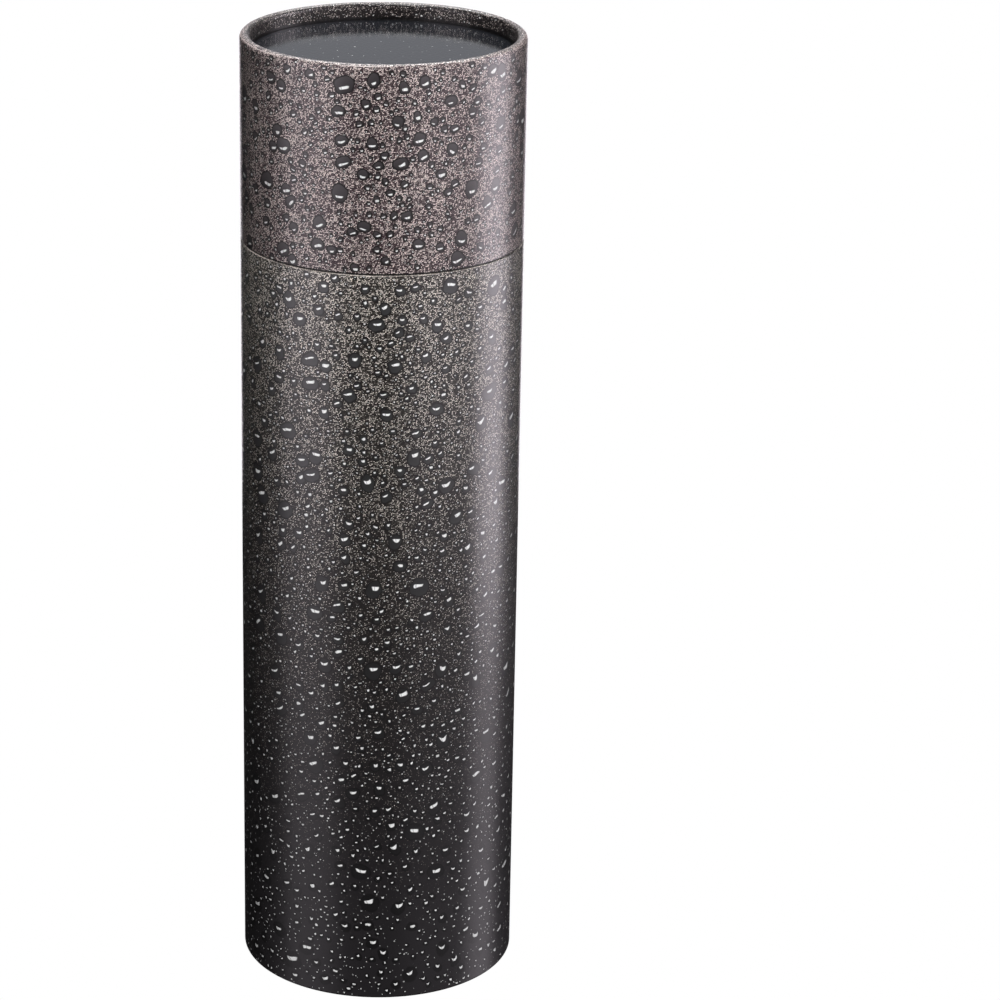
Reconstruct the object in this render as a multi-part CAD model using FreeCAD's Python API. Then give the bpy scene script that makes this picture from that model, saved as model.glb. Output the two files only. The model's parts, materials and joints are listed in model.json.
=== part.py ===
"""Cylindrical gift tube box: wound board tubes covered in paper, with a lift-off lid.

A full-length neck tube lines the body and stands proud of its shoulder. The lid slides over that neck and comes
down on the shoulder, so that lid and body share one outer diameter. Both ends are closed by covered board discs
set back inside the rim, and the printed papers are turned over every edge of the board.

Lengths are millimetres. +Z is up, the origin is the centre of the base on the surface that the box stands on,
-Y is the front, and the lap seams of the printed papers are at the back, on +Y.
"""

import FreeCAD, Part
import math
import os

# Outside of the closed box
tube_diameter = 85.0
tube_height = 296.0
lid_height = 62.0

# Paper and board
paper = 0.2
lid_wall = 2.7
neck_wall = 1.2
disc_board = 2.0

# The neck that the lid slides over
neck_projection = 40.0
neck_clearance = 0.3

# How far the covered discs are set back from the ends
lid_recess = 5.0
base_recess = 4.0

# Edges of the board: the lid's rim is rounded over nearly its whole wall, the others are only broken
rim_round_share = 0.43
edge_round = 0.4

# Paper turned over the edges and glued inside
mouth_turn_in = 12.0
rim_tuck = 4.6
shoulder_turn_in = 15.0
base_tuck = 9.0

# Lap seam, where the end of a printed sheet is glued over its start
lap_width = 8.0
lap_ramp = 1.5

# Radii, from the outside in
outer_radius = tube_diameter / 2
board_radius = outer_radius - paper
lid_board_bore = board_radius - lid_wall
lid_bore = lid_board_bore - paper
neck_radius = lid_bore - neck_clearance
body_board_bore = neck_radius + paper
neck_board_radius = neck_radius - paper
neck_board_bore = neck_board_radius - neck_wall
bore_radius = neck_board_bore - paper
lid_disc_radius = lid_bore - paper
base_disc_radius = neck_radius - paper

# Heights, from the bottom up
shoulder = tube_height - lid_height
base_board_low = base_recess + paper
base_board_high = base_board_low + disc_board
floor = base_board_high + paper
base_turn_in_end = floor + base_tuck
shoulder_turn_in_end = shoulder - shoulder_turn_in
neck_top = shoulder + neck_projection
mouth_turn_in_end = shoulder + mouth_turn_in
disc_face = tube_height - lid_recess
disc_board_high = disc_face - paper
disc_board_low = disc_board_high - disc_board
ceiling = disc_board_low - paper
rim_turn_in_end = ceiling - rim_tuck

# Roundings of the board, and of the paper that follows it
rim_round = rim_round_share * lid_wall
edge_paper_round = edge_round + paper

AXIS = FreeCAD.Vector(0, 0, 1)
ORIGIN = FreeCAD.Vector(0, 0, 0)
BACK = math.pi / 2


def square_outline(corners):
    """A closed wire in the XZ plane through square corners, each given as (radius, height, rounding)."""
    places = [FreeCAD.Vector(radius, 0, height) for radius, height, rounding in corners]
    bends = []
    for index, (place, corner) in enumerate(zip(places, corners)):
        rounding = corner[2]
        back = (places[index - 1] - place).normalize() * rounding
        ahead = (places[(index + 1) % len(places)] - place).normalize() * rounding
        bends.append((place + back, place + back + ahead, place, place + ahead, rounding))
    edges = []
    for index, (start, centre, place, end, rounding) in enumerate(bends):
        if rounding:
            middle = centre + (place - centre).normalize() * rounding
            edges.append(Part.Arc(start, middle, end).toShape())
        following = bends[(index + 1) % len(bends)][0]
        edges.append(Part.LineSegment(end, following).toShape())
    return Part.Wire(edges)


def turned(corners):
    """The solid that a square outline sweeps in one turn about the tube's axis."""
    return Part.Face(square_outline(corners)).revolve(ORIGIN, AXIS, 360)


def board_tube(bore, low, high, low_round, high_round):
    """A wound board tube of the common outer radius, with its two ends rounded."""
    return turned([
        (bore, low, low_round),
        (board_radius, low, low_round),
        (board_radius, high, high_round),
        (bore, high, high_round),
    ])


def printed_wrap(bore, low, high, low_round, high_round, low_end, high_end):
    """A printed sheet round a board tube, turned over both edges and up the bore as far as the two ends given.

    low and high are the edges of the paper itself, so the board's edges lie one paper inside them."""
    face = bore - paper
    ring = turned([
        (face, low_end, 0),
        (face, low, low_round + paper),
        (outer_radius, low, low_round + paper),
        (outer_radius, high, high_round + paper),
        (face, high, high_round + paper),
        (face, high_end, 0),
        (bore, high_end, 0),
        (bore, high - paper, high_round),
        (board_radius, high - paper, high_round),
        (board_radius, low + paper, low_round),
        (bore, low + paper, low_round),
        (bore, low_end, 0),
    ])
    lap = lap_seam(low + low_round + paper, high - high_round - paper)
    return ring.fuse(lap).removeSplitter()


def lap_seam(low, high):
    """The lapped end of a printed sheet: one paper thick, with a sharp edge and a ramp over the sheet's start."""
    lap_radius = outer_radius + paper
    edge = BACK - lap_width / outer_radius / 2
    ramp = BACK + lap_width / outer_radius / 2
    foot = ramp + lap_ramp / outer_radius

    def place(radius, angle):
        return FreeCAD.Vector(radius * math.cos(angle), radius * math.sin(angle), low)

    section = Part.Wire([
        Part.LineSegment(place(outer_radius, edge), place(lap_radius, edge)).toShape(),
        Part.Arc(place(lap_radius, edge), place(lap_radius, BACK), place(lap_radius, ramp)).toShape(),
        Part.LineSegment(place(lap_radius, ramp), place(outer_radius, foot)).toShape(),
        Part.Arc(place(outer_radius, foot), place(outer_radius, BACK), place(outer_radius, edge)).toShape(),
    ])
    return Part.Face(section).extrude(AXIS * (high - low))


def sleeve(radius, bore, low, high):
    """A plain paper or board tube with square ends."""
    return turned([(bore, low, 0), (radius, low, 0), (radius, high, 0), (bore, high, 0)])


def covered_disc_board(radius, low, face, face_round):
    """A board disc whose face edge is broken. face is the height of the side that shows."""
    return turned([(0, low, 0), (radius, low, 0), (radius, face, face_round), (0, face, 0)])


def disc_cover(radius, board_end, face, face_round):
    """A paper drawn over a disc's face and along its edge to the board's far side.

    face is the height of the paper's own outer side, and board_end that of the far side of the board."""
    inward = math.copysign(paper, board_end - face)
    return turned([
        (0, face, 0),
        (radius, face, face_round + paper),
        (radius, board_end, 0),
        (radius - paper, board_end, 0),
        (radius - paper, face + inward, face_round),
        (0, face + inward, 0),
    ])


def paper_disc(radius, low):
    """A round of lining paper."""
    return Part.makeCylinder(radius, paper, FreeCAD.Vector(0, 0, low))


def neck_cover():
    """Lining paper round the whole neck tube and over its top edge, as far as the bore lining."""
    return turned([
        (neck_board_radius, floor, 0),
        (neck_radius, floor, 0),
        (neck_radius, neck_top, edge_paper_round),
        (neck_board_bore, neck_top, 0),
        (neck_board_bore, neck_top - paper, 0),
        (neck_board_radius, neck_top - paper, edge_round),
    ])


def neck_board():
    """The neck tube: it stands on the floor of the body and its outer top edge is broken to lead the lid on."""
    return turned([
        (neck_board_bore, floor, 0),
        (neck_board_radius, floor, 0),
        (neck_board_radius, neck_top - paper, edge_round),
        (neck_board_bore, neck_top - paper, 0),
    ])


def body_pieces():
    """The pieces that stay on the table when the lid is lifted."""
    return {
        "body_tube": board_tube(body_board_bore, paper, shoulder - paper, edge_round, edge_round),
        "body_wrap": printed_wrap(
            body_board_bore, 0, shoulder, edge_round, edge_round, base_turn_in_end, shoulder_turn_in_end
        ),
        "base_disc": covered_disc_board(base_disc_radius, base_board_high, base_board_low, edge_round),
        "base_paper": disc_cover(neck_radius, base_board_high, base_recess, edge_round),
        "floor_paper": paper_disc(neck_radius, base_board_high),
        "neck_tube": neck_board(),
        "neck_wrap": neck_cover(),
        "bore_lining": sleeve(neck_board_bore, bore_radius, floor, neck_top),
    }


def lid_pieces():
    """The pieces that lift off together."""
    return {
        "lid_tube": board_tube(lid_board_bore, shoulder + paper, tube_height - paper, edge_round, rim_round),
        "lid_wrap": printed_wrap(
            lid_board_bore, shoulder, tube_height, edge_round, rim_round, mouth_turn_in_end, rim_turn_in_end
        ),
        "lid_lining": sleeve(lid_board_bore, lid_bore, mouth_turn_in_end, rim_turn_in_end),
        "lid_top_disc": covered_disc_board(lid_disc_radius, disc_board_low, disc_board_high, edge_round),
        "lid_top_paper": disc_cover(lid_bore, disc_board_low, disc_face, edge_round),
        "lid_ceiling_paper": paper_disc(lid_bore, ceiling),
    }


def main():
    os.makedirs("parts", exist_ok=True)
    for name, solid in {**body_pieces(), **lid_pieces()}.items():
        solid.exportStep(os.path.join("parts", name + ".step"))
        print(f"{name}: {len(solid.Solids)} solid, valid {solid.isValid()}, {solid.Volume:.1f} cubic mm")


main()
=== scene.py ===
# %% [markdown]
# # A gift tube box in printed paper
# The box is a tall tube of wound board with a lift-off lid. Everything that the eye meets is paper: a
# laminated, printed sheet round lid and body, dark satin paper on the two set-back ends, and black
# lining paper on the neck and inside. The CAD solids could simply be coloured, but a print has to run
# round the tube and over its edges. So this lesson keeps the CAD boards, which the papers hide, and
# makes each paper again as a smooth mesh; the printed ones get a map of the flat sheet as well.

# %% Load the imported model
import json
import math

import bmesh
import bpy
from mathutils import Matrix, Vector, noise


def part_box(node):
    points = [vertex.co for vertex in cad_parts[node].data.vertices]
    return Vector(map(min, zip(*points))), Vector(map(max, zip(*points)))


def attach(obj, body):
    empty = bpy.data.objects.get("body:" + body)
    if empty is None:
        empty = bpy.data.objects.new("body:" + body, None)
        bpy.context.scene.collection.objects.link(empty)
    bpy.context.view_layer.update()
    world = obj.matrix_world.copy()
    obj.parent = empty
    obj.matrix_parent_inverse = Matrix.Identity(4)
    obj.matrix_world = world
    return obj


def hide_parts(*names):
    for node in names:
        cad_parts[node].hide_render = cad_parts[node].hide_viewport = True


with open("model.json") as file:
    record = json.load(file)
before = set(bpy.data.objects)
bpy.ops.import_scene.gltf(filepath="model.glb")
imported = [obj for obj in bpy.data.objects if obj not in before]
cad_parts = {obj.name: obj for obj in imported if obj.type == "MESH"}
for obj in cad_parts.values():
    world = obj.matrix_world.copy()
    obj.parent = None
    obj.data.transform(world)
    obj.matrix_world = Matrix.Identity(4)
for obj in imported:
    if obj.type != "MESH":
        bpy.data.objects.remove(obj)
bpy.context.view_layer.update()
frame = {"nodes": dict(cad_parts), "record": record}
scene = bpy.context.scene

# %% [markdown]
# ## Sizes
# A turned solid is told by one radius and two heights, and its box in the frame gives all three. That
# keeps the papers in step with the CAD when a size changes. The few sizes that a box can't give, such
# as the rounding of an edge, are named here in millimetres.

# %% Radii and heights, in metres
MM = 0.001


def reach(node):
    """The outer radius, lowest height and highest height of a turned CAD node."""
    low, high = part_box(node)
    return high.x, low.z, high.z


outer_radius, shoulder, tube_top = reach("lid_wrap")
lid_board_bore, mouth_turn_in_end, rim_turn_in_end = reach("lid_lining")
lid_bore, ceiling, disc_board_low = reach("lid_ceiling_paper")
disc_face = reach("lid_top_paper")[2]
neck_radius, floor, neck_top = reach("neck_wrap")
base_face, base_board_high = reach("base_paper")[1:]
paper = floor - base_board_high
bore_radius = frame["record"]["mounts"][1]["dims"]["r_mm"] * MM
RIM_ROUND = 1.36 * MM
EDGE_ROUND = 0.6 * MM
BASE_TURN_IN_END = 15.4 * MM
SHOULDER_TURN_IN = 15 * MM
print(f"outer radius {outer_radius / MM:.2f} mm, top {tube_top / MM:.1f} mm, paper {paper / MM:.2f} mm")

# %% [markdown]
# ## Camera
# The photograph looks down on the box by about twenty degrees through a long lens. A camera could be
# set by eye; here its place and turn were found by fitting the ellipses of the rim, the seam and the
# base, so that the rendered outline lies on the photographed one. The box stands left of the middle of
# the frame. That is a lens shift rather than a turned camera, because the ellipses are level.

# %% Place the camera
CAMERA_PLACE = Vector((0, -1060.35, 537.7)) * MM
CAMERA_PITCH = 0.351
CAMERA_YAW = 0.0005
CAMERA_ROLL = 0.0073
FOCAL_PIXELS = 3667
AXIS_PIXEL = 382
FRAME_PIXELS = 1000


def camera_turn(pitch, yaw, roll):
    """The camera's axes as a rotation: pitched down, yawed to the right, then rolled about the view."""
    level = math.cos(pitch)
    forward = Vector((math.sin(yaw) * level, math.cos(yaw) * level, -math.sin(pitch)))
    right = Vector((math.cos(yaw), -math.sin(yaw), 0))
    up = right.cross(forward)
    rolled_right = right * math.cos(roll) + up * math.sin(roll)
    rolled_up = up * math.cos(roll) - right * math.sin(roll)
    return Matrix((rolled_right, rolled_up, -forward)).transposed()


turn = camera_turn(CAMERA_PITCH, CAMERA_YAW, CAMERA_ROLL).to_4x4()
camera = bpy.data.objects.new("camera", bpy.data.cameras.new("camera"))
scene.collection.objects.link(camera)
camera.matrix_world = Matrix.Translation(CAMERA_PLACE) @ turn
camera.data.lens = camera.data.sensor_width * FOCAL_PIXELS / FRAME_PIXELS
camera.data.shift_x = 0.5 - AXIS_PIXEL / FRAME_PIXELS
scene.camera = camera
print(f"lens {camera.data.lens:.1f} mm, shift {camera.data.shift_x:.3f}")

# %% [markdown]
# ## Colour and nodes
# Colours are written as sRGB hex, as a print designer would give them, and one function turns them to
# the linear values that the shaders use. Nodes could be added one call at a time, but that hides the
# recipe. One function adds a node with its settings and its links, so that a material reads from top to
# bottom.


# %% Helpers for materials
def ink(text):
    """A linear RGBA colour from an sRGB hex string such as 8a7f78."""
    shares = [int(text[i:i + 2], 16) / 255 for i in (0, 2, 4)]
    return [s / 12.92 if s <= 0.04045 else ((s + 0.055) / 1.055) ** 2.4 for s in shares] + [1]


def add(tree, kind, settings=None, links=None):
    """Adds a node. settings are its properties; links fill its sockets with values or other nodes."""
    node = tree.nodes.new("ShaderNode" + kind)
    for name, value in (settings or {}).items():
        setattr(node, name, value)
    for name, value in (links or {}).items():
        if isinstance(value, bpy.types.Node):
            value = value.outputs[0]
        if isinstance(value, bpy.types.NodeSocket):
            tree.links.new(value, node.inputs[name])
        else:
            node.inputs[name].default_value = value
    return node


def new_material(name):
    """A material with an empty node tree, and that tree."""
    material = bpy.data.materials.new(name)
    material.use_nodes = True
    material.node_tree.nodes.clear()
    return material, material.node_tree


print("mid grey ink 808080 is", round(ink("808080")[0], 3), "in linear light")

# %% [markdown]
# ## The printed drops
# The print shows condensation: dark drops of every size, each with a white glint, over a fine mist. It
# could be painted drop by drop, but thousands are wanted, so each size of drop is one Voronoi pattern.
# A cell holds one drop, and its random colour serves as dice that give the drop a size, a lean and a
# shape of its own. Where two sizes meet, the smaller drop is left out, as if it had run into the bigger.

# %% Where the drops are
# How far the cells stray from a grid, and the share of its free room that a drop may take
CELL_SCATTER = 0.9
ROOM_SHARE = 0.9


def drop_cells(tree, place, size):
    """The drop nearest to a place: its centre and radius, and six dice from 0 to 1 that are its own.

    The largest circle in the cell limits the radius, so that no neighbour cuts the drop off."""
    cells = {"Vector": place, "Scale": 1 / size["cell"], "Randomness": CELL_SCATTER}
    cell = add(tree, "TexVoronoi", {"voronoi_dimensions": "2D"}, cells)
    room = add(tree, "TexVoronoi", {"voronoi_dimensions": "2D", "feature": "N_SPHERE_RADIUS"}, cells)
    first = add(tree, "SeparateColor", links={0: cell.outputs["Color"]}).outputs
    again = add(tree, "TexWhiteNoise", {"noise_dimensions": "3D"}, {"Vector": cell.outputs["Color"]})
    second = add(tree, "SeparateColor", links={0: again.outputs["Color"]}).outputs
    rare = add(tree, "Math", {"operation": "POWER"}, {0: first[0], 1: size["rarity"]})
    wanted = add(tree, "MapRange", links={"Value": rare, "To Min": size["least"], "To Max": size["most"]})
    free = {0: room.outputs["Radius"], 1: ROOM_SHARE * size["cell"]}
    free = add(tree, "Math", {"operation": "MULTIPLY"}, free)
    radius = add(tree, "Math", {"operation": "MINIMUM"}, {0: wanted, 1: free})
    return cell.outputs["Position"], radius, [*first[:3], *second[:3]]


# %% Which drops are kept
def whole_drops(tree, centre, radius, span):
    """1 where a drop is whole. span is the middle and half height of the sheet between its folds."""
    up = add(tree, "SeparateXYZ", links={0: centre}).outputs[1]
    off = add(tree, "Math", {"operation": "SUBTRACT"}, {0: up, 1: span[0]})
    off = add(tree, "Math", {"operation": "ABSOLUTE"}, {0: off})
    off = add(tree, "Math", {"operation": "ADD"}, {0: off, 1: radius})
    return add(tree, "Math", {"operation": "LESS_THAN"}, {0: off, 1: span[1]})


def kept_drops(tree, centre, radius, dice, size, bigger_sizes, span):
    """1 where a drop is kept: a share of them, none over a fold, and none that touches a bigger one."""
    kept = add(tree, "Math", {"operation": "LESS_THAN"}, {0: dice[3], 1: size["share"]})
    if span:
        whole = whole_drops(tree, centre, radius, span)
        kept = add(tree, "Math", {"operation": "MULTIPLY"}, {0: kept, 1: whole})
    for bigger in bigger_sizes:
        other, other_radius, other_dice = drop_cells(tree, centre, bigger)
        there = add(tree, "Math", {"operation": "LESS_THAN"}, {0: other_dice[3], 1: bigger["share"]})
        gap = add(tree, "VectorMath", {"operation": "DISTANCE"}, {0: centre, 1: other}).outputs["Value"]
        both = add(tree, "Math", {"operation": "ADD"}, {0: radius, 1: other_radius})
        touching = add(tree, "Math", {"operation": "LESS_THAN"}, {0: gap, 1: both})
        swallowed = add(tree, "Math", {"operation": "MULTIPLY"}, {0: touching, 1: there})
        kept = add(tree, "Math", {"operation": "SUBTRACT", "use_clamp": True}, {0: kept, 1: swallowed})
    return kept


# %% [markdown]
# ## Shape and glint of a drop
# Seen from its centre, a drop is a circle of radius 1 that is wobbled by noise, leaned, and drawn out
# towards one end like an egg. A picture of a drop could be stamped instead, but then all would look
# alike. The glint is a stroke in the same coordinates: its ends turn up, its top is wider than its foot,
# and faint streaks run through it. Where there is no mist, it turns up more, like a little crescent.

# %% The place in a drop
# Wobble in radii of the drop, lean in radians; the dice choose between the two ends of each pair
WOBBLE = 0.5
WOBBLE_SCALE = 0.8
LEAN = (0.1, -0.5)
NARROWING = (0.78, 1.25)
EGG = (-0.1, 0.2)


def place_in_drop(tree, sheet, centre, radius, dice, size):
    """Sideways, upwards and outwards from a drop's centre, in radii of the drop."""
    wobble = {"Vector": sheet, "Scale": WOBBLE_SCALE / size["most"], "Detail": 1.0}
    wobble = add(tree, "TexNoise", {"noise_dimensions": "2D"}, wobble).outputs["Color"]
    wobble = add(tree, "VectorMath", {"operation": "SUBTRACT"}, {0: wobble, 1: (0.5, 0.5, 0.5)})
    wobble = add(tree, "VectorMath", {"operation": "SCALE"}, {0: wobble, "Scale": size["most"] * WOBBLE})
    local = add(tree, "VectorMath", {"operation": "SUBTRACT"}, {0: sheet, 1: centre})
    local = add(tree, "VectorMath", {"operation": "ADD"}, {0: local, 1: wobble})
    lean = add(tree, "MapRange", links={"Value": dice[1], "To Min": LEAN[0], "To Max": LEAN[1]})
    local = add(tree, "VectorRotate", {"rotation_type": "Z_AXIS"}, {"Vector": local, "Angle": lean})
    shrink = add(tree, "Math", {"operation": "DIVIDE"}, {0: 1.0, 1: radius})
    local = add(tree, "VectorMath", {"operation": "SCALE"}, {0: local, "Scale": shrink})
    sideways, upwards = add(tree, "SeparateXYZ", links={0: local}).outputs[:2]
    narrow = {"Value": dice[2], "To Min": NARROWING[0], "To Max": NARROWING[1]}
    narrow = add(tree, "MapRange", links=narrow)
    egg = add(tree, "MapRange", links={"Value": dice[4], "To Min": EGG[0], "To Max": EGG[1]})
    narrow = add(tree, "Math", {"operation": "MULTIPLY_ADD"}, {0: egg, 1: upwards, 2: narrow})
    sideways = add(tree, "Math", {"operation": "MULTIPLY"}, {0: sideways, 1: narrow})
    flat = add(tree, "CombineXYZ", links={0: sideways, 1: upwards})
    outwards = add(tree, "VectorMath", {"operation": "LENGTH"}, {0: flat}).outputs["Value"]
    return sideways, upwards, outwards


# %% Size and curl of a glint
# Shares of the glint that a size of drop has; swell and curl are for no mist and for full mist
GLINT_WIDTHS = (0.8, 1.3)
GLINT_DEPTHS = (0.75, 1.35)
GLINT_SWELL = 1.2
GLINT_SHIFT = 0.12
GLINT_CURL = (1.1, 0.2)
GLINT_FLARE = 0.2


def place_in_glint(tree, sideways, upwards, fog, dice, size, glint_height):
    """Across and above the middle of a drop's glint, in half widths and half depths of the glint."""
    narrowest, widest = [share * size["glint_width"] for share in GLINT_WIDTHS]
    width = add(tree, "MapRange", links={"Value": dice[4], "To Min": narrowest, "To Max": widest})
    thinnest, thickest = [share * size["glint_depth"] for share in GLINT_DEPTHS]
    depth = add(tree, "MapRange", links={"Value": dice[5], "To Min": thinnest, "To Max": thickest})
    bolder = add(tree, "MapRange", links={"Value": fog, "To Min": GLINT_SWELL, "To Max": 1.0})
    depth = add(tree, "Math", {"operation": "MULTIPLY"}, {0: depth, 1: bolder})
    shift = add(tree, "MapRange", links={"Value": dice[5], "To Min": -GLINT_SHIFT, "To Max": GLINT_SHIFT})
    across = add(tree, "Math", {"operation": "SUBTRACT"}, {0: sideways, 1: shift})
    curl = add(tree, "MapRange", links={"Value": fog, "To Min": GLINT_CURL[0], "To Max": GLINT_CURL[1]})
    curl = add(tree, "Math", {"operation": "MULTIPLY"}, {0: curl, 1: dice[2]})
    bend = add(tree, "Math", {"operation": "MULTIPLY"}, {0: across, 1: across})
    bend = add(tree, "Math", {"operation": "MULTIPLY_ADD"}, {0: bend, 1: curl, 2: glint_height})
    above = add(tree, "Math", {"operation": "SUBTRACT"}, {0: upwards, 1: bend})
    above = add(tree, "Math", {"operation": "DIVIDE"}, {0: above, 1: depth})
    flare = add(tree, "Math", {"operation": "MULTIPLY_ADD"}, {0: above, 1: GLINT_FLARE, 2: 1.0})
    width = add(tree, "Math", {"operation": "MULTIPLY"}, {0: width, 1: flare})
    across = add(tree, "Math", {"operation": "DIVIDE"}, {0: across, 1: width})
    return across, above


# %% Brightness of a glint
GLINT_EDGE = (1.15, 0.6)
STREAKS = 2.2
STREAK_EDGE = (0.3, 0.5)


def glint_mask(tree, sideways, upwards, fog, dice, size, glint_height):
    """How bright the glint is at a place in a drop, from 0 to 1. glint_height is its height there."""
    across, above = place_in_glint(tree, sideways, upwards, fog, dice, size, glint_height)
    spot = add(tree, "CombineXYZ", links={0: across, 1: above})
    spot = add(tree, "VectorMath", {"operation": "MULTIPLY"}, {0: spot, 1: spot})
    spot = add(tree, "VectorMath", {"operation": "LENGTH"}, {0: spot}).outputs["Value"]
    spot = add(tree, "MapRange", {"interpolation_type": "SMOOTHSTEP"},
               {"Value": spot, "From Min": GLINT_EDGE[0], "From Max": GLINT_EDGE[1]})
    streak = add(tree, "Math", {"operation": "MULTIPLY_ADD"}, {0: across, 1: STREAKS, 2: dice[3]})
    streak = add(tree, "TexNoise", {"noise_dimensions": "1D"}, {"W": streak, "Scale": 1.0, "Detail": 2.0})
    streak = add(tree, "MapRange", links={"Value": streak, "From Min": STREAK_EDGE[0],
                                          "From Max": STREAK_EDGE[1], "To Min": size["streak"]})
    spot = add(tree, "Math", {"operation": "MULTIPLY"}, {0: spot, 1: streak})
    light = add(tree, "MapRange", links={"Value": dice[1], "To Min": size["dimmest"]})
    return add(tree, "Math", {"operation": "MULTIPLY"}, {0: spot, 1: light})


# %% One size of drop, printed over what is there
DROP_EDGE = (1.03, 0.95)
DARK_RING_MM = (0.65, 0.2)
SHADE_HEIGHT = 0.8


def water_colour(tree, upwards, outwards, radius, fog, inks):
    """The colour of a drop: shaded from foot to top, with a dark ring, and flat where there is no mist."""
    rise = {"Value": upwards, "From Min": -SHADE_HEIGHT, "From Max": SHADE_HEIGHT}
    rise = add(tree, "MapRange", links=rise)
    shaded = {0: rise, 6: ink(inks["drop_low"]), 7: ink(inks["drop_high"])}
    water = add(tree, "Mix", {"data_type": "RGBA"}, shaded).outputs[2]
    inwards = add(tree, "Math", {"operation": "SUBTRACT"}, {0: 1.0, 1: outwards})
    inwards = add(tree, "Math", {"operation": "MULTIPLY"}, {0: inwards, 1: radius})
    ring = add(tree, "MapRange", {"interpolation_type": "SMOOTHSTEP"},
               {"Value": inwards, "From Min": DARK_RING_MM[0], "From Max": DARK_RING_MM[1]})
    ringed = {0: ring, 6: water, 7: ink(inks["drop_edge"])}
    water = add(tree, "Mix", {"data_type": "RGBA"}, ringed).outputs[2]
    flat = {0: fog, 6: ink(inks["drop_night"]), 7: water}
    return add(tree, "Mix", {"data_type": "RGBA"}, flat).outputs[2]


def print_drops(tree, sheet, fog, colour, size, bigger_sizes, inks, glint_height, span):
    """Prints one size of drop over a colour. fog, from 0 to 1, is how much mist there is at each place."""
    centre, radius, dice = drop_cells(tree, sheet, size)
    kept = kept_drops(tree, centre, radius, dice, size, bigger_sizes, span)
    sideways, upwards, outwards = place_in_drop(tree, sheet, centre, radius, dice, size)
    inside = add(tree, "MapRange", {"interpolation_type": "SMOOTHSTEP"},
                 {"Value": outwards, "From Min": DROP_EDGE[0], "From Max": DROP_EDGE[1]})
    drop = add(tree, "Math", {"operation": "MULTIPLY"}, {0: inside, 1: kept})
    water = water_colour(tree, upwards, outwards, radius, fog, inks)
    colour = add(tree, "Mix", {"data_type": "RGBA"}, {0: drop, 6: colour, 7: water}).outputs[2]
    glint = glint_mask(tree, sideways, upwards, fog, dice, size, glint_height)
    glint = add(tree, "Math", {"operation": "MULTIPLY"}, {0: glint, 1: drop})
    lit = {0: glint, 6: colour, 7: ink(inks["glint"])}
    return add(tree, "Mix", {"data_type": "RGBA"}, lit).outputs[2]


# %% [markdown]
# ## The mist
# Between the drops lies mist, beads too small to draw one by one, of which the eye sees only short
# strokes of light. Plain noise would look like cloud, so each cell of a very fine Voronoi pattern gets
# one stroke at its own angle. Real beads of mist would be finer still. These are drawn coarser, about one
# and a half pixels of the photograph apart, which is as fine as shows in the render.

# %% Strokes of mist
BEAD_MM = 0.42
BEAD_SCATTER = 0.65
STROKE_MM = (0.52, 0.195)
STROKE_TURN = (-1.3, 0.5)
STROKE_CORE = 0.75
STROKE_REACH = (1.1, 1.45)
STROKE_IN_THIN_FOG = 0.35


def mist_strokes(tree, sheet, bead, dice, light, fog):
    """1 on the stroke of a bead. Brighter strokes reach further, and thin fog makes them finer."""
    local = add(tree, "VectorMath", {"operation": "SUBTRACT"}, {0: sheet, 1: bead.outputs["Position"]})
    turn = {"Value": dice[0], "To Min": STROKE_TURN[0], "To Max": STROKE_TURN[1]}
    turn = add(tree, "MapRange", links=turn)
    local = add(tree, "VectorRotate", {"rotation_type": "Z_AXIS"}, {"Vector": local, "Angle": turn})
    local = add(tree, "VectorMath", {"operation": "MULTIPLY"},
                {0: local, 1: (2 / STROKE_MM[0], 2 / STROKE_MM[1], 0)})
    outwards = add(tree, "VectorMath", {"operation": "LENGTH"}, {0: local}).outputs["Value"]
    reach_out = {"Value": light, "To Min": STROKE_REACH[0], "To Max": STROKE_REACH[1]}
    reach_out = add(tree, "MapRange", links=reach_out)
    finer = add(tree, "MapRange", links={"Value": fog, "To Min": STROKE_IN_THIN_FOG, "To Max": 1.0})
    outwards = add(tree, "Math", {"operation": "DIVIDE"}, {0: outwards, 1: finer})
    return add(tree, "MapRange", {"interpolation_type": "SMOOTHSTEP"},
               {"Value": outwards, "From Min": reach_out, "From Max": STROKE_CORE})


print(f"strokes of mist: {STROKE_MM[0]} by {STROKE_MM[1]} mm, in cells of {BEAD_MM} mm")

# %% Brightness of the mist
# A high rarity leaves most beads dim; patches and thin fog dull them further
BRIGHT_RARITY = 2.8
BEAD_LIGHT = (0.03, 2.6)
PATCH_MM = 9
PATCH_EDGE = (0.36, 0.6)
DULLEST_PATCH = 0.92
FAINT_FOG = (0.1, 0.85)
FAINTEST = 0.12
THINNING = 0.7


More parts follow.
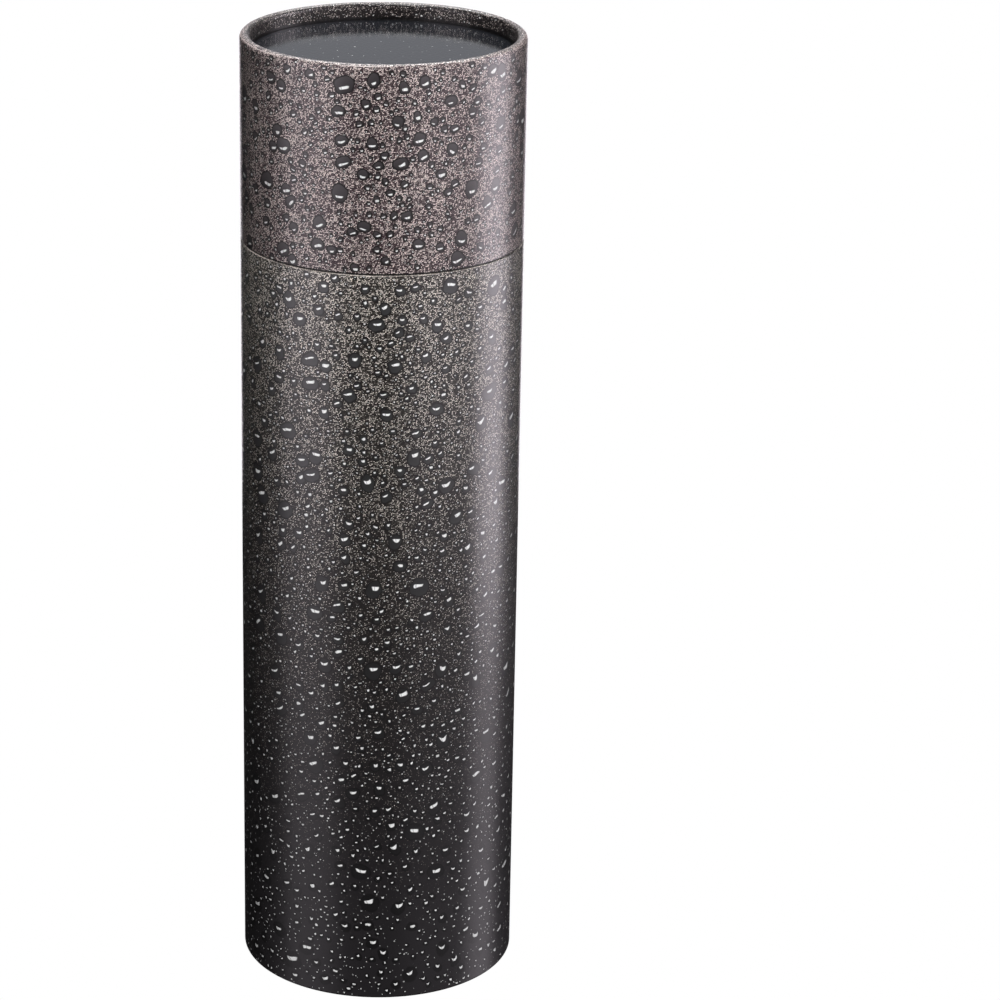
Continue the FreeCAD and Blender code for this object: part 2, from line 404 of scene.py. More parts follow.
def mist_mask(tree, sheet, fog):
    """How bright the mist is at a place on the sheet. In thin fog the strokes are fewer and fainter."""
    bead = {"Vector": sheet, "Scale": 1 / BEAD_MM, "Randomness": BEAD_SCATTER}
    bead = add(tree, "TexVoronoi", {"voronoi_dimensions": "2D"}, bead)
    dice = add(tree, "SeparateColor", links={0: bead.outputs["Color"]}).outputs
    light = add(tree, "Math", {"operation": "POWER"}, {0: dice[1], 1: BRIGHT_RARITY})
    stroke = mist_strokes(tree, sheet, bead, dice, light, fog)
    light = add(tree, "MapRange", links={"Value": light, "To Min": BEAD_LIGHT[0], "To Max": BEAD_LIGHT[1]})
    patches = add(tree, "TexNoise", {"noise_dimensions": "2D"},
                  {"Vector": sheet, "Scale": 1 / PATCH_MM, "Detail": 4.0, "Roughness": 0.65})
    patches = add(tree, "MapRange", links={"Value": patches, "From Min": PATCH_EDGE[0],
                                           "From Max": PATCH_EDGE[1], "To Min": DULLEST_PATCH})
    light = add(tree, "Math", {"operation": "MULTIPLY"}, {0: light, 1: patches})
    faint = add(tree, "MapRange", links={"Value": fog, "From Min": FAINT_FOG[0], "From Max": FAINT_FOG[1],
                                         "To Min": FAINTEST})
    light = add(tree, "Math", {"operation": "MULTIPLY"}, {0: light, 1: faint})
    density = add(tree, "Math", {"operation": "POWER"}, {0: fog, 1: THINNING})
    kept = add(tree, "Math", {"operation": "LESS_THAN"}, {0: dice[2], 1: density})
    stroke = add(tree, "Math", {"operation": "MULTIPLY"}, {0: stroke, 1: light})
    return add(tree, "Math", {"operation": "MULTIPLY", "use_clamp": True}, {0: stroke, 1: kept})


# %% [markdown]
# ## Folds, painted shade and painted highlights
# A sheet changes where it is folded over the board. Inside the lid's rim it lies in shade, so the print
# gets darker and thinner there, down to a dark line in the corner with the disc. The shade of the lamps
# does only part of this, so the rest is painted shade in the ink. Each lower edge has a painted shadow,
# a black band that draws the line between lid and body. The upper folds are painted pale, partly as wear
# from handling and partly as the highlight along the edge.

# %% Painted shade, painted edge shadow and pale folds, by the height along the sheet
# Inside the rim, the height goes on growing along the paper, past the top of the tube
# Painted shade: inside the rim the mist thins and the ground darkens, with a shadow line at the disc
RIM_FADE = 3 * MM
RIM_THINNING = 0.5
RIM_DARKENING = 0.9
RIM_SHADE = (7.1 * MM, 7.5 * MM)
RIM_SHADE_STRENGTH = 0.95
# A painted shadow: a black band along the lower edge of each sheet
SHADOW_MARGIN = 0.6 * MM
SHADOW_INK = "0b0a0a"
# Pale upper folds: partly wear from handling, partly a painted highlight along the edge
SCUFF_AND_HIGHLIGHT_MM = 25
SCUFF_AND_HIGHLIGHT_REACH = 0.3 * MM
SCUFF_AND_HIGHLIGHT_STRENGTH = 0.9
SCUFF_AND_HIGHLIGHT_EDGE = (0.46, 0.62)


def scuff_and_highlight_mask(tree, sheet, height, fold):
    """Where the fold at a height is pale, unevenly along its length: partly wear, partly a painted
    highlight.
    """
    off = add(tree, "Math", {"operation": "SUBTRACT"}, {0: height, 1: fold})
    off = add(tree, "Math", {"operation": "ABSOLUTE"}, {0: off})
    near = add(tree, "MapRange", {"interpolation_type": "SMOOTHSTEP"},
               {"Value": off, "From Min": SCUFF_AND_HIGHLIGHT_REACH, "From Max": 0.0, "To Max": SCUFF_AND_HIGHLIGHT_STRENGTH})
    rubbed_and_lit = {"Vector": sheet, "Scale": 1 / SCUFF_AND_HIGHLIGHT_MM, "Detail": 6.0}
    rubbed_and_lit = add(tree, "TexNoise", {"noise_dimensions": "2D"}, rubbed_and_lit)
    rubbed_and_lit = {"Value": rubbed_and_lit, "From Min": SCUFF_AND_HIGHLIGHT_EDGE[0], "From Max": SCUFF_AND_HIGHLIGHT_EDGE[1]}
    rubbed_and_lit = add(tree, "MapRange", links=rubbed_and_lit)
    return add(tree, "Math", {"operation": "MULTIPLY"}, {0: near, 1: rubbed_and_lit})


def paint_fold_light(tree, sheet, height, colour, low_fold, high_fold, scuff_and_highlight_ink):
    """Paints the rim's shadow line, the lower edge's shadow and the pale upper fold (wear and highlight)
    over a colour.
    """
    # Painted shadow in the corner where the rim's wall meets the disc
    shade = {"Value": height, "From Min": tube_top + RIM_SHADE[0], "From Max": tube_top + RIM_SHADE[1],
             "To Max": RIM_SHADE_STRENGTH}
    shade = add(tree, "MapRange", links=shade)
    colour = add(tree, "Mix", {"data_type": "RGBA"}, {0: shade, 6: colour, 7: ink(SHADOW_INK)}).outputs[2]
    # Painted shadow along the lower edge
    edge_shadow = add(tree, "Math", {"operation": "LESS_THAN"}, {0: height, 1: low_fold + SHADOW_MARGIN})
    colour = add(tree, "Mix", {"data_type": "RGBA"}, {0: edge_shadow, 6: colour, 7: ink(SHADOW_INK)}).outputs[2]
    # Pale upper fold: wear and a painted highlight
    scuff_and_highlight = scuff_and_highlight_mask(tree, sheet, height, high_fold)
    return add(tree, "Mix", {"data_type": "RGBA"}, {0: scuff_and_highlight, 6: colour, 7: ink(scuff_and_highlight_ink)}).outputs[2]


# The black band at each lower edge is a painted shadow
print(f"black margin {SHADOW_MARGIN / MM:.1f} mm, print darkened over {RIM_FADE / MM:.0f} mm inside the rim")

# %% [markdown]
# ## Printed, laminated paper
# The sheet is art paper with a satin film on it: the ink below is matt, and the film gives one soft,
# clear reflection with a faint orange peel. One principled shader does both, with the print as its base
# colour. Lid and body carry different parts of one picture, so one function prints both, each with its
# own inks, its glints on one side of the drops, and the heights between which the mist thins out.

# %% Sizes of drop: cell and radii in mm, and the glint's half width and depth in radii
SIZE_NAMES = ("cell", "least", "most", "rarity", "share", "glint_width", "glint_depth", "streak",
              "dimmest")
DROP_SIZES = [dict(zip(SIZE_NAMES, row)) for row in (
    (2.2, 0.18, 0.42, 1.5, 0.70, 0.52, 0.42, 1.0, 0.25),
    (2.9, 0.48, 0.82, 1.3, 0.65, 0.38, 0.30, 1.0, 0.50),
    (4.2, 0.85, 1.30, 1.3, 0.95, 0.36, 0.22, 1.0, 0.70),
    (7.8, 1.35, 2.10, 1.2, 0.95, 0.40, 0.17, 0.7, 0.90),
    (13.5, 2.10, 3.20, 1.4, 0.95, 0.44, 0.15, 0.5, 1.00),
)]
SMALL_SIZES = 2
print(len(DROP_SIZES), "sizes of drop, up to", DROP_SIZES[-1]["most"], "mm in radius")

# %% Print one sheet
PEEL_MM = 1.3
PEEL_DEPTH = 0.02 * MM
PEEL_STRENGTH = 0.5
FILM_ROUGHNESS = 0.34
FILM_IOR = 1.48


def print_mist(tree, sheet, height, fade_low, fade_high, inks):
    """The ground with its mist, and the fog: full above fade_high and gone below fade_low, in mm."""
    fog = {"Value": height, "From Min": fade_low * MM, "From Max": fade_high * MM}
    fog = add(tree, "MapRange", links=fog)
    # Painted shade inside the rim: thinner mist over a ground darkened towards the shadow ink
    painted_rim_shade = {"Value": height, "From Min": tube_top, "From Max": tube_top + RIM_FADE}
    painted_rim_shade = add(tree, "MapRange", links=painted_rim_shade)
    thinner = add(tree, "Math", {"operation": "MULTIPLY"}, {0: painted_rim_shade, 1: RIM_THINNING})
    fog = add(tree, "Math", {"operation": "SUBTRACT"}, {0: fog, 1: thinner})
    mist = mist_mask(tree, sheet, fog)
    ground = {0: fog, 6: ink(inks["night"]), 7: ink(inks["ground"])}
    ground = add(tree, "Mix", {"data_type": "RGBA"}, ground).outputs[2]
    darker = add(tree, "Math", {"operation": "MULTIPLY"}, {0: painted_rim_shade, 1: RIM_DARKENING})
    ground = add(tree, "Mix", {"data_type": "RGBA"}, {0: darker, 6: ground, 7: ink(SHADOW_INK)}).outputs[2]
    misty = {0: mist, 6: ground, 7: ink(inks["mist"])}
    return add(tree, "Mix", {"data_type": "RGBA"}, misty).outputs[2], fog


def printed_paper(name, inks, glint_height, fade_low, fade_high, low_fold, high_fold, start):
    """Satin film over a print of drops. start is the corner of the picture, in mm, that the sheet shows.

    Only the small drops may lie anywhere; the others stay whole between the two folds."""
    material, tree = new_material(name)
    flat = add(tree, "UVMap", {"uv_map": "sheet"})
    height = add(tree, "SeparateXYZ", links={0: flat}).outputs[1]
    sheet = {"Vector": flat, "Location": (*start, 0), "Scale": (1 / MM, 1 / MM, 1)}
    sheet = add(tree, "Mapping", links=sheet)
    colour, fog = print_mist(tree, sheet, height, fade_low, fade_high, inks)
    between = ((low_fold + high_fold) / 2 / MM + start[1], (high_fold - low_fold) / 2 / MM)
    for index, size in enumerate(DROP_SIZES):
        # The smallest drops are simply printed over by the bigger ones
        bigger_sizes = DROP_SIZES[index + 1:] if index else ()
        span = between if index >= SMALL_SIZES else None
        colour = print_drops(tree, sheet, fog, colour, size, bigger_sizes, inks, glint_height, span)
    # Painted shade in the rim's corner and at the lower edge, and pale upper folds with a painted
    # highlight
    colour = paint_fold_light(tree, sheet, height, colour, low_fold, high_fold, inks["scuff_and_highlight"])
    peel = {"Vector": sheet, "Scale": 1 / PEEL_MM, "Detail": 2.0}
    peel = add(tree, "TexNoise", {"noise_dimensions": "2D"}, peel)
    peel = add(tree, "Bump", links={"Height": peel, "Strength": PEEL_STRENGTH, "Distance": PEEL_DEPTH})
    film = {"Base Color": colour, "Roughness": FILM_ROUGHNESS, "IOR": FILM_IOR, "Normal": peel}
    film = add(tree, "BsdfPrincipled", links=film)
    add(tree, "OutputMaterial", links={"Surface": film})
    print(f"{name}: {len(tree.nodes)} nodes")
    return material


# %% The two prints
# The scuff inks are the pale of the upper folds: wear and a painted highlight
LID_INKS = {
    "night": "241f20", "ground": "301f26", "mist": "fff0ea", "drop_low": "2c292b", "drop_high": "474345",
    "drop_edge": "0e0d0d", "drop_night": "201e20", "glint": "ffffff", "scuff_and_highlight": "c9bcb8",
}
BODY_INKS = {
    "night": "252325", "ground": "15100b", "mist": "fff6ec", "drop_low": "3b3b3c", "drop_high": "2f2f30",
    "drop_edge": "080808", "drop_night": "181718", "glint": "ffffff", "scuff_and_highlight": "e6dcd4",
}

# To the eye, a warm grey mist all over, with the glint at the foot of each drop
lid_print = printed_paper("printed_art_paper_lid", LID_INKS, glint_height=-0.33, fade_low=-100,
                          fade_high=-50, low_fold=shoulder, high_fold=tube_top, start=(400, -310))
# To the eye, a mist that sinks into black downwards, where only white glints are left
body_print = printed_paper("printed_art_paper_body", BODY_INKS, glint_height=0.14, fade_low=20,
                           fade_high=250, low_fold=0, high_fold=shoulder, start=(0, 0))

# %% [markdown]
# ## Plain papers and board
# The ends are covered in a dark paper with a smooth film, which mirrors the rim. A perfect mirror would
# look like glass, so the film is a little wavy, and white flecks mark it as paper. The neck and the
# inside are black uncoated paper, dull and faintly fibrous. The boards are grey recycled board, and the
# cut end of a sheet is pale raw paper. These three are one recipe, a dyed stuff with a fibre grain.

# %% Filmed paper
FLECK_SIZE = dict(cell=4.0, least=0.10, most=0.30, rarity=2.0)
FLECK_EDGE = (1.0, 0.5)
FLECK_RARITY = 2.0
WAVE_MM = 1.0
WAVE_DEPTH = 0.025 * MM
PLAIN_FILM_IOR = 1.5


def fleck_paper(name, colour, fleck, roughness):
    """A dark filmed paper with sparse white flecks, on the flat face of a disc."""
    material, tree = new_material(name)
    place = add(tree, "TexCoord").outputs["Object"]
    place = add(tree, "Mapping", links={"Vector": place, "Scale": (1 / MM, 1 / MM, 1 / MM)})
    centre, radius, dice = drop_cells(tree, place, FLECK_SIZE)
    outwards = place_in_drop(tree, place, centre, radius, dice, FLECK_SIZE)[2]
    flecks = {"Value": outwards, "From Min": FLECK_EDGE[0], "From Max": FLECK_EDGE[1]}
    flecks = add(tree, "MapRange", links=flecks)
    bright = add(tree, "Math", {"operation": "POWER"}, {0: dice[3], 1: FLECK_RARITY})
    flecks = add(tree, "Math", {"operation": "MULTIPLY"}, {0: flecks, 1: bright})
    mix = add(tree, "Mix", {"data_type": "RGBA"}, {0: flecks, 6: ink(colour), 7: ink(fleck)}).outputs[2]
    wave = {"Vector": place, "Scale": 1 / WAVE_MM, "Detail": 1.0}
    wave = add(tree, "TexNoise", {"noise_dimensions": "2D"}, wave)
    wave = add(tree, "Bump", links={"Height": wave, "Distance": WAVE_DEPTH})
    film = {"Base Color": mix, "Roughness": roughness, "IOR": PLAIN_FILM_IOR, "Normal": wave}
    film = add(tree, "BsdfPrincipled", links=film)
    add(tree, "OutputMaterial", links={"Surface": film})
    return material


# To the eye, a smooth dark mirror for the rim, with a dusting of white
disc_paper = fleck_paper("filmed_charcoal_paper", "1c1e22", "d9d9d9", roughness=0.07)
print(disc_paper.name, "has waves of", WAVE_MM, "mm")

# %% Grained papers and board
GRAIN_DEPTH = 0.03 * MM
GRAIN_STRENGTH = 0.3


def grain_paper(name, colour, lighter, roughness, grain_mm):
    """A dyed paper with a faint fibre grain in its colour and its surface."""
    material, tree = new_material(name)
    place = add(tree, "TexCoord").outputs["Object"]
    grain = {"Vector": place, "Scale": 1 / (grain_mm * MM), "Detail": 4.0}
    grain = add(tree, "TexNoise", links=grain)
    mix = add(tree, "Mix", {"data_type": "RGBA"}, {0: grain, 6: ink(colour), 7: ink(lighter)}).outputs[2]
    bump = add(tree, "Bump", links={"Height": grain, "Strength": GRAIN_STRENGTH, "Distance": GRAIN_DEPTH})
    dull = add(tree, "BsdfPrincipled", links={"Base Color": mix, "Roughness": roughness, "Normal": bump})
    add(tree, "OutputMaterial", links={"Surface": dull})
    return material


# To the eye, a black that takes all light and shows the fit of neck and lid as one soft edge
lining_paper = grain_paper("black_uncoated_paper", "141415", "232325", roughness=0.8, grain_mm=0.6)
# To the eye, plain warm grey, should a board ever show
greyboard = grain_paper("grey_wound_board", "8f877d", "a79f94", roughness=0.9, grain_mm=1.2)
# To the eye, a hair-thin pale line where a sheet ends
raw_edge = grain_paper("raw_paper_edge", "cfcac2", "e6e2da", roughness=0.85, grain_mm=0.3)

boards = ("lid_tube", "body_tube", "neck_tube", "lid_top_disc", "base_disc")
for node in boards:
    for material_slot in frame["nodes"][node].material_slots:
        material_slot.material = greyboard
print(len(boards), "boards in", greyboard.name)

# %% [markdown]
# ## Turning a paper
# A paper tube is rolled, but its shape is that of a turned one, so each paper is a thin closed outline
# spun once round the axis. Modelling only the side that shows would be less work, but a sheet with two
# sides can be looked at from anywhere. Vertex bevels round the outline's corners where the paper bends,
# and the ends where it was cut stay sharp.

# %% Spin an outline
STEPS = 360
ROUND_SEGMENTS = 6
MERGE = 0.001 * MM


def turned(corners):
    """A bmesh of the closed outline of (radius, height, rounding) corners, spun once round Z."""
    bm = bmesh.new()
    verts = [bm.verts.new((radius, 0, height)) for radius, height, rounding in corners]
    bm.faces.new(verts)
    for size in sorted({rounding for radius, height, rounding in corners if rounding}):
        bent = [vert for vert, corner in zip(verts, corners) if corner[2] == size]
        bmesh.ops.bevel(bm, geom=bent, offset=size, offset_type="OFFSET", segments=ROUND_SEGMENTS,
                        profile=0.5, affect="VERTICES", material=-1)
    bmesh.ops.delete(bm, geom=bm.faces[:], context="FACES_ONLY")
    on_axis = [edge for edge in bm.edges if all(vert.co.x < MERGE for vert in edge.verts)]
    bmesh.ops.delete(bm, geom=on_axis, context="EDGES")
    bmesh.ops.spin(bm, geom=bm.verts[:] + bm.edges[:], cent=(0, 0, 0), axis=(0, 0, 1), angle=math.tau,
                   steps=STEPS, use_merge=True)
    bmesh.ops.remove_doubles(bm, verts=bm.verts[:], dist=MERGE)
    bmesh.ops.recalc_face_normals(bm, faces=bm.faces[:])
    return bm


print(f"a step of the spin is {outer_radius * math.tau / STEPS / MM:.2f} mm long on the outside")

# %% Finish a piece
SHARP_ANGLE = math.radians(40)


def finish_piece(name, bm, materials, body, slot, *nodes):
    """Makes the object, with its sharp edges and materials, and lets it stand for CAD nodes on a body."""
    bm.normal_update()
    for face in bm.faces:
        face.smooth = True
    for edge in bm.edges:
        edge.smooth = edge.calc_face_angle(0) < SHARP_ANGLE
    mesh = bpy.data.meshes.new(name)
    bm.to_mesh(mesh)
    bm.free()
    for material in materials:
        mesh.materials.append(material)
    piece = bpy.data.objects.new(name, mesh)
    scene.collection.objects.link(piece)
    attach(piece, body)
    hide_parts(*nodes)
    print(f"{name}: {len(mesh.polygons)} faces")
    return piece


# %% [markdown]
# ## The two printed sheets
# A sheet runs up the outside, over both edges of its board and a little way along the bore, and its two
# ends meet in a lap seam at the back. A seam could be drawn on, but a real step catches the light. It is
# cut in as two close columns of vertices; the paper on one side is lifted by its own thickness and eased
# down again. The sheet map measures the paper flat, in metres, so that the print keeps its size.


# %% Outline of a sheet
def wrap_outline(bore, low, high, low_round, high_round, low_end, high_end):
    """Corners of a sheet turned over both edges of its board and glued inside as far as the two ends."""
    return [
        (bore, low_end, 0),
        (bore, low, low_round),
        (outer_radius, low, low_round),
        (outer_radius, high, high_round),
        (bore, high, high_round),
        (bore, high_end, 0),
        (bore + paper, high_end, 0),
        (bore + paper, high - paper, high_round - paper),
        (outer_radius - paper, high - paper, high_round - paper),
        (outer_radius - paper, low + paper, low_round - paper),
        (bore + paper, low + paper, low_round - paper),
        (bore + paper, low_end, 0),
    ]


# %% Lap seam
LAP_WIDTH = 8 * MM
LAP_RAMP = 1.5 * MM
LAP_CUT = 0.03 * MM
LAP_END = 0.3 * MM
LAP_TURN = LAP_WIDTH / 2 / outer_radius


def slide(vert, outward):
    """Moves a vertex straight out from the tube's axis."""
    radius = math.hypot(vert.co.x, vert.co.y)
    vert.co.x *= (radius + outward) / radius
    vert.co.y *= (radius + outward) / radius


def cut_lap(bm, low, high):
    """Cuts the end of the sheet into the back of a wrap, and a row near each end of the lap.

    Those rows keep the shading of the lap's two ends from spreading along the whole seam."""
    cuts = [((0, 0, 0), (math.cos(turn), -math.sin(turn), 0))
            for turn in (LAP_TURN, LAP_TURN + LAP_CUT / outer_radius)]
    cuts += [((0, 0, end), (0, 0, 1)) for end in (low + LAP_END, high - LAP_END)]
    for place, facing in cuts:
        back = [face for face in bm.faces
                if all(vert.co.y > 0 and abs(vert.co.x) < LAP_WIDTH for vert in face.verts)]
        rest = dict.fromkeys(part for face in back for part in (*face.verts, *face.edges))
        bmesh.ops.bisect_plane(bm, geom=back + list(rest), dist=MERGE, plane_co=place, plane_no=facing)


def lift_lap(bm, low, high):
    """Lifts the lap at the back of a wrap and bares the raw paper of its cut edge."""
    cut_lap(bm, low, high)
    for vert in bm.verts:
        across = math.atan2(vert.co.x, vert.co.y) * outer_radius
        outside = math.hypot(vert.co.x, vert.co.y) > outer_radius - paper / 2
        inside_ends = low - MERGE < vert.co.z < high + MERGE
        if outside and inside_ends and across < LAP_WIDTH / 2 + LAP_CUT / 2:
            slide(vert, paper * min(1, max(0, (across + LAP_WIDTH / 2 + LAP_RAMP) / LAP_RAMP)))
    for face in bm.faces:
        centre = face.calc_center_median()
        across = math.atan2(centre.x, centre.y) * outer_radius - LAP_WIDTH / 2
        if 0 < across < LAP_CUT and math.hypot(centre.x, centre.y) > outer_radius + paper / 4:
            face.material_index = 1


print(f"the lap takes {math.degrees(2 * LAP_TURN):.1f} degrees of the tube")

# %% Sheet map
SHEET_END = math.pi - LAP_TURN


def lay_out(bm, bore, low, high):
    """Maps each face to the flat sheet: round the tube, then along the paper over its two edges."""
    layer = bm.loops.layers.uv.new("sheet")
    flat = {}
    for vert in bm.verts:
        x, y, z = vert.co
        inward = outer_radius - math.hypot(x, y)
        inside = inward > (outer_radius - bore) / 2
        if z > (low + high) / 2:
            along = (2 * high - z if inside else z) + inward
        else:
            along = (2 * low - z if inside else z) - inward
        flat[vert] = (math.atan2(x, -y), along)
    for face in bm.faces:
        centre = face.calc_center_median()
        middle = math.atan2(centre.x, -centre.y)
        if middle > SHEET_END:
            middle -= math.tau
        for loop in face.loops:
            turn, along = flat[loop.vert]
            turn += math.tau * round((middle - turn) / math.tau)
            loop[layer].uv = (turn * outer_radius, along)


# %% [markdown]
# ## The lid's sheet
# Paper that turns over the rim has too much length for the smaller circle inside, so it puckers there.
# A bump map could shade the puckers, but the rim is seen edge on, where only real shape shows. So the
# inside of the rim is cut into rows and pushed in by uneven pleats, which fade out at the roll and at
# the disc.

# %% The lid's sheet, with its pleats
PLEAT_SPACING = 2.2 * MM
PLEAT_DEPTH = 0.22 * MM
PLEAT_START = disc_face + 0.3 * MM
PLEAT_FULL = disc_face + 1.8 * MM
PLEAT_ROWS = 4
CREASE_POWER = 0.7
roll_start = tube_top - RIM_ROUND


def ease(value, start, end):
    """Goes smoothly from 0 at start to 1 at end."""
    share = min(1, max(0, (value - start) / (end - start)))
    return share * share * (3 - 2 * share)


def crease(vert, spacing):
    """How deep the folds are at a vertex, from 0 to 1: uneven, about the spacing apart round the tube."""
    turn = Vector((vert.co.x, vert.co.y, 0)).normalized() * lid_bore / spacing
    return max(0, noise.noise(turn)) ** CREASE_POWER


lid_sheet = turned(wrap_outline(lid_bore, shoulder, tube_top, EDGE_ROUND, RIM_ROUND, mouth_turn_in_end,
                                rim_turn_in_end))
for row in range(PLEAT_ROWS):
    cut = PLEAT_START + (roll_start - PLEAT_START) * row / PLEAT_ROWS
    everything = lid_sheet.verts[:] + lid_sheet.edges[:] + lid_sheet.faces[:]
    bmesh.ops.bisect_plane(lid_sheet, geom=everything, dist=MERGE, plane_co=(0, 0, cut),
                           plane_no=(0, 0, 1))
lift_lap(lid_sheet, shoulder + EDGE_ROUND, roll_start)
lay_out(lid_sheet, lid_bore, shoulder, tube_top)
for vert in lid_sheet.verts:
    out = math.hypot(vert.co.x, vert.co.y)
    on_bore = out < lid_bore + paper / 2
    on_roll = out < lid_bore + RIM_ROUND and vert.co.z > roll_start
    if vert.co.z > PLEAT_START and (on_bore or on_roll):
        depth = ease(vert.co.z, PLEAT_START, PLEAT_FULL) * (1 - ease(vert.co.z, roll_start, tube_top))
        slide(vert, -PLEAT_DEPTH * depth * crease(vert, PLEAT_SPACING))
finish_piece("lid_printed_sheet", lid_sheet, [lid_print, raw_edge], "lid", "printed_paper", "lid_wrap")

# %% [markdown]
# ## The body's sheet
# It is made as the lid's is, but needs no pleats: its upper fold lies under the edge of the lid, where
# they wouldn't show, and its lower one is the edge that the box stands on.

# %% The body's sheet
body_sheet = turned(wrap_outline(neck_radius, 0, shoulder, EDGE_ROUND, EDGE_ROUND, BASE_TURN_IN_END,
                                 shoulder - SHOULDER_TURN_IN))
lift_lap(body_sheet, EDGE_ROUND, shoulder - EDGE_ROUND)
lay_out(body_sheet, neck_radius, 0, shoulder)
finish_piece("body_printed_sheet", body_sheet, [body_print, raw_edge], "body", "printed_paper",
             "body_wrap")

# %% [markdown]
# ## The covered ends
# A disc's paper is a shallow cup drawn over a board disc, and it puckers at the edge as the sheet does.
# A flat disc would mirror the rim as one clean arc; the puckers break that arc up, as on the real lid.

# %% Puckered discs
PUCKER_REACH = 3 * MM
PUCKER_ROWS = 5
PUCKER_SPACING = 1.6 * MM
PUCKER_DEPTH = 0.12 * MM


def covered_disc(radius, face, end):
    """A paper drawn over a disc's face and along its edge to the height end, puckered at the edge."""
    inward = math.copysign(paper, end - face)
    rows = [(radius - PUCKER_REACH + (PUCKER_REACH - EDGE_ROUND) * row / PUCKER_ROWS, face, 0)
            for row in range(PUCKER_ROWS)]
    bm = turned([
        (0, face, 0),
        *rows,
        (radius, face, EDGE_ROUND),
        (radius, end, 0),
        (radius - paper, end, 0),
        (radius - paper, face + inward, EDGE_ROUND - paper),
        (0, face + inward, 0),
    ])
    for vert in bm.verts:
        out = math.hypot(vert.co.x, vert.co.y)
        if abs(vert.co.z - face) < EDGE_ROUND / 2 and out > radius - PUCKER_REACH:
            depth = ease(out, radius - PUCKER_REACH, radius - EDGE_ROUND) * crease(vert, PUCKER_SPACING)
            vert.co.z += math.copysign(PUCKER_DEPTH * depth, end - face)
    return bm


finish_piece("lid_top_cover", covered_disc(lid_bore, disc_face, disc_board_low), [disc_paper], "lid",
             "disc_paper", "lid_top_paper")
finish_piece("base_cover", covered_disc(neck_radius, base_face, base_board_high), [disc_paper], "body",
             "disc_paper", "base_paper")

# %% [markdown]
# ## The neck and the linings
# They show when the lid is lifted: black paper round the neck and over its top edge, down its bore, on
# the floor, and inside the lid. All are plain sleeves and rounds, so their outlines need no more than
# four corners, and the neck's has two more for the fold.


# %% Neck and linings
def sleeve_outline(radius, low, high):
    """Corners of a paper sleeve that lines a bore of this radius."""
    return [(radius - paper, low, 0), (radius, low, 0), (radius, high, 0), (radius - paper, high, 0)]


def round_outline(radius, low):
    """Corners of a flat round of paper."""
    return [(0, low, 0), (radius, low, 0), (radius, low + paper, 0), (0, low + paper, 0)]


neck_outline = [
    (neck_radius - paper, floor, 0),
    (neck_radius, floor, 0),
    (neck_radius, neck_top, EDGE_ROUND),
    (bore_radius + paper, neck_top, 0),
    (bore_radius + paper, neck_top - paper, 0),
    (neck_radius - paper, neck_top - paper, EDGE_ROUND - paper),
]
linings = (
    ("neck_black_paper", neck_outline, "body", "neck_wrap"),
    ("bore_black_paper", sleeve_outline(bore_radius + paper, floor, neck_top), "body", "bore_lining"),
    ("floor_black_paper", round_outline(neck_radius, base_board_high), "body", "floor_paper"),
    ("lid_black_lining", sleeve_outline(lid_board_bore, mouth_turn_in_end, rim_turn_in_end), "lid",
     "lid_lining"),
    ("lid_black_ceiling", round_outline(lid_bore, ceiling), "lid", "lid_ceiling_paper"),
)
for name, outline, body, node in linings:
    finish_piece(name, turned(outline), [lining_paper], body, "lining_paper", node)

# %% [markdown]
# ## Floor
# The photograph has a plain white ground without a shadow, and dark edges on the box. In a studio that
# is a lit table with black cards out of view. A white floor that takes light would grey the ground and
# brighten the box from below, so here the floor glows by itself and is left out of reflections, bounce
# light and shadows. Seen from below it is clear, so that the underside of the box can be looked at.

# %% Stage
FLOOR_SIZE = 12
FLOOR_GAP = 0.05 * MM
FLOOR_CELLS = 8
floor_bm = bmesh.new()
bmesh.ops.create_grid(floor_bm, x_segments=FLOOR_CELLS, y_segments=FLOOR_CELLS, size=FLOOR_SIZE / 2)
floor_mesh = bpy.data.meshes.new("studio_floor")
floor_bm.to_mesh(floor_mesh)
floor_bm.free()

# To the eye, nothing but white
floor_material, floor_tree = new_material("white_table")
glow = add(floor_tree, "Emission", links={"Color": ink("ffffff")})
clear = add(floor_tree, "BsdfTransparent")
below = add(floor_tree, "NewGeometry").outputs["Backfacing"]
table = add(floor_tree, "MixShader", links={0: below, 1: glow, 2: clear})
add(floor_tree, "OutputMaterial", links={"Surface": table})
floor_mesh.materials.append(floor_material)

studio_floor = bpy.data.objects.new("studio_floor", floor_mesh)
studio_floor.location.z = -FLOOR_GAP
scene.collection.objects.link(studio_floor)
studio_floor.visible_glossy = False
studio_floor.visible_diffuse = False
studio_floor.visible_shadow = False
print("floor of", FLOOR_SIZE, "m")

# %% [markdown]
# ## Light
# A photographer lights the ink and the film apart: lamps for the ink, and white cards that the film
# mirrors. A few big lamps could do both, but then the bands on the tube couldn't be placed one by one.
# Here one far softbox in front lights the print and is left out of the film, and a small one below shows
# the base. Two above draw the white line along the rim. The cards give the long highlight at the right,
# the second band at the left, the bright back of the rim and the grey of the disc.


# %% A softbox
def softbox(name, place, aim, width, height, radiance):
    """A rectangular area light at a place in metres, turned to its aim, of the radiance given."""
    light = bpy.data.lights.new(name, "AREA")
    light.shape = "RECTANGLE"
    light.size = width
    light.size_y = height
    light.energy = radiance * math.pi * width * height
    lamp = bpy.data.objects.new(name, light)
    lamp.location = place
    lamp.rotation_euler = (Vector(aim) - Vector(place)).to_track_quat("-Z", "Y").to_euler()
    lamp.visible_camera = False
    scene.collection.objects.link(lamp)
    return lamp


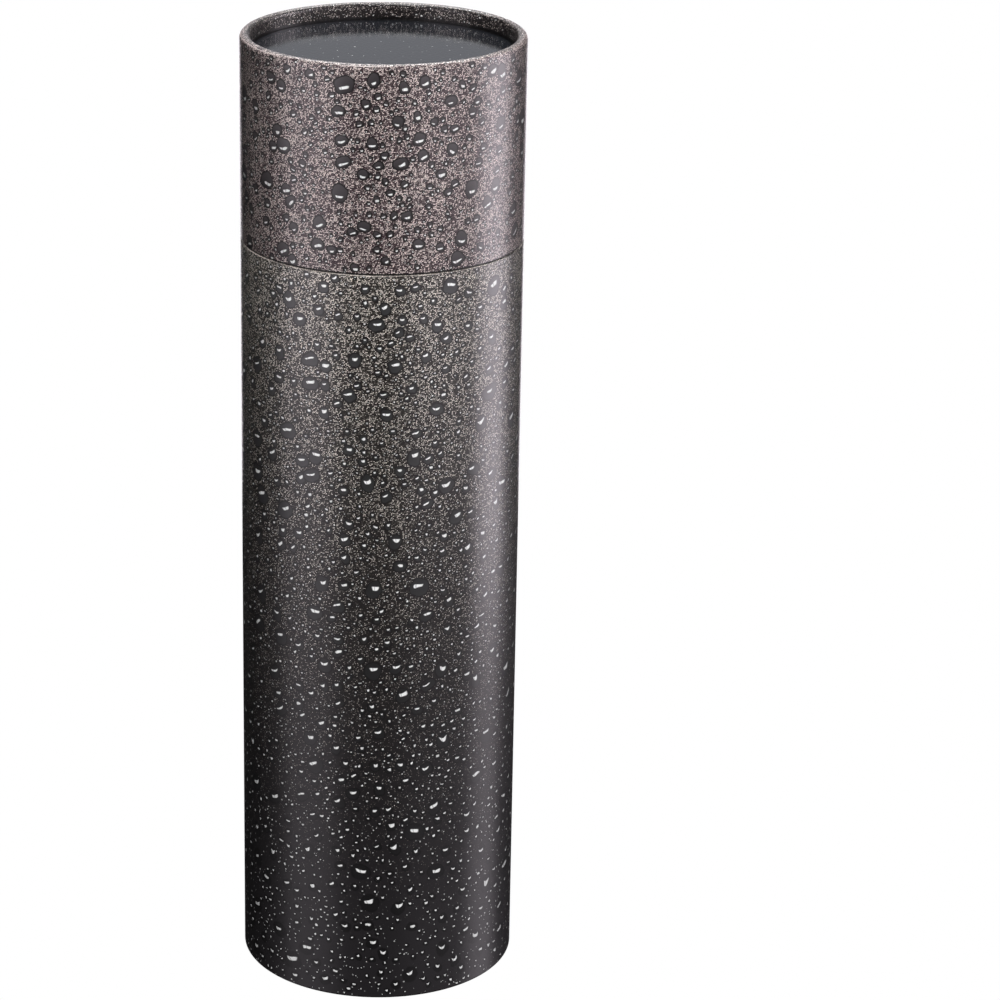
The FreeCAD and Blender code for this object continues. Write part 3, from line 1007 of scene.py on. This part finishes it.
# %% Lamps: name, place, aim, width and height in metres, and radiance
LAMPS = (
    ("front_high", (0.4, -2.45, 1.65), (0, 0, 0.15), 1.4, 1.4, 13.3),
    ("under", (0, 0, -1.5), (0, 0, 0), 0.1, 0.1, 900),
    ("overhead", (-0.2, -0.15, 1.5), (0, 0, 0.25), 0.45, 0.45, 14),
    ("back_high", (0, 0.75, 1.25), (0, 0, 0.25), 0.9, 0.45, 14),
)
FOR_THE_INK_ONLY = ("front_high", "under")
for name, *setting in LAMPS:
    lamp = softbox(name, *setting)
    lamp.visible_glossy = name not in FOR_THE_INK_ONLY
print(len(LAMPS), "lamps")

# %% Cards that the film mirrors and that don't light the ink, with their tints
ROSE_WHITE = "fff6ff"
BLUE_WHITE = "f4f6ff"
CARDS = (
    ("right_tall", ROSE_WHITE, (0.446, 0.063, 0.315), (0, 0.063, 0.315), 0.26, 0.69, 5.9),
    ("right_low", ROSE_WHITE, (0.446, 0.063, -0.215), (0, 0.063, -0.215), 0.26, 0.37, 1.5),
    ("right_front", ROSE_WHITE, (0.37, -0.37, 0.29), (0, 0, 0.29), 0.46, 0.52, 1.7),
    ("right_front_low", ROSE_WHITE, (0.37, -0.37, -0.2), (0, 0, -0.2), 0.46, 0.46, 0.25),
    ("left_tall", ROSE_WHITE, (-0.475, -0.285, 0.28), (0, 0, 0.28), 0.48, 0.56, 2.3),
    ("left_low", ROSE_WHITE, (-0.475, -0.285, -0.2), (0, 0, -0.2), 0.48, 0.4, 0.85),
    ("backdrop", ROSE_WHITE, (0, 1.0, 0.03), (0, 0, 0.25), 0.6, 0.45, 5),
    ("card_behind", BLUE_WHITE, (0, 1.1, 0.55), (0, 0, 0.3), 0.6, 0.6, 0.46),
)
for name, tint, *setting in CARDS:
    card = softbox(name, *setting)
    card.visible_diffuse = False
    card.data.color = ink(tint)[:3]
print(len(CARDS), "cards")

# %% World: white to the camera, nearly black to the box
DARK_ROOM = 0.01
world = bpy.data.worlds.new("studio")
world.use_nodes = True
world.node_tree.nodes.clear()
seen = add(world.node_tree, "LightPath").outputs["Is Camera Ray"]
brightness = {"Value": seen, "To Min": DARK_ROOM, "To Max": 1.0}
brightness = add(world.node_tree, "MapRange", links=brightness)
sky = add(world.node_tree, "Background", links={"Color": ink("ffffff"), "Strength": brightness})
add(world.node_tree, "OutputWorld", links={"Surface": sky})
scene.world = world
scene.view_settings.view_transform = "Standard"
print("world", world.name, "with the", scene.view_settings.view_transform, "view")
